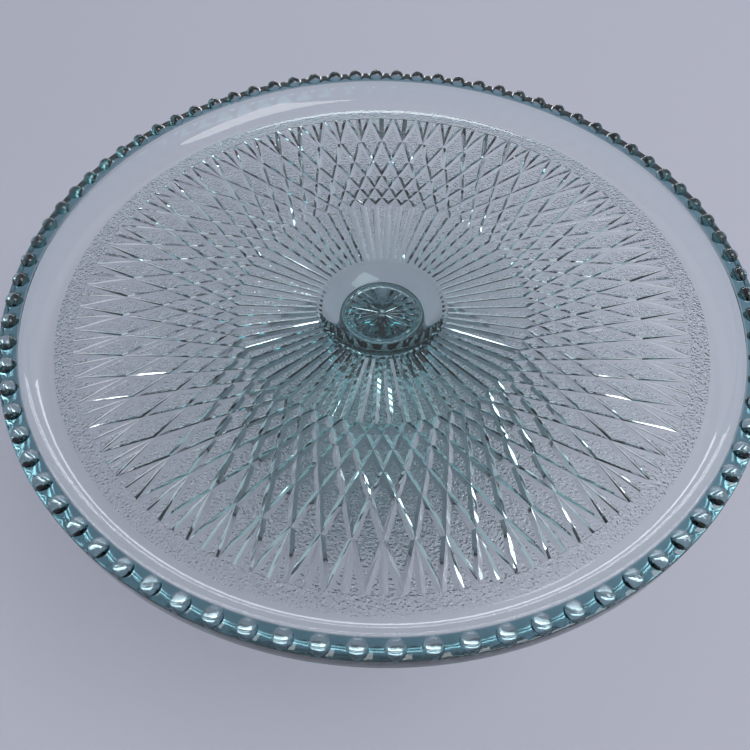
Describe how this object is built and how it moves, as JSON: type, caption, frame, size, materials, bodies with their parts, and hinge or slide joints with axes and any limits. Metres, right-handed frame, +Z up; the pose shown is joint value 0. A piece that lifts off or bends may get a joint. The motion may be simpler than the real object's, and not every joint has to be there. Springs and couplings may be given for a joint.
{
  "type": "cake stand",
  "caption": "Footed cake stand in pale aqua pressed glass: a round dish with a beaded rim and cut diamond pattern, lifting off a hollow flared pedestal.",
  "frame": {"origin": "centre of the foot, on the surface it stands on", "axes": "+Z up along the axis of the pedestal and dish; the stand is the same from every side, so +X and +Y are free"},
  "size_m": [0.3004, 0.3004, 0.1354],
  "materials": {
    "aqua_glass": "pressed and fire-polished, with a fine stipple on parts of the underside"
  },
  "bodies": {
    "pedestal_body": {"pedestal": "aqua_glass"},
    "dish_body": {"dish": "aqua_glass"}
  },
  "joints": [
    {"name": "dish_lift", "type": "slide", "parent": "pedestal_body", "child": "dish_body", "axis": [0, 0, 1], "range_m": [0, 0.06]}
  ]
}
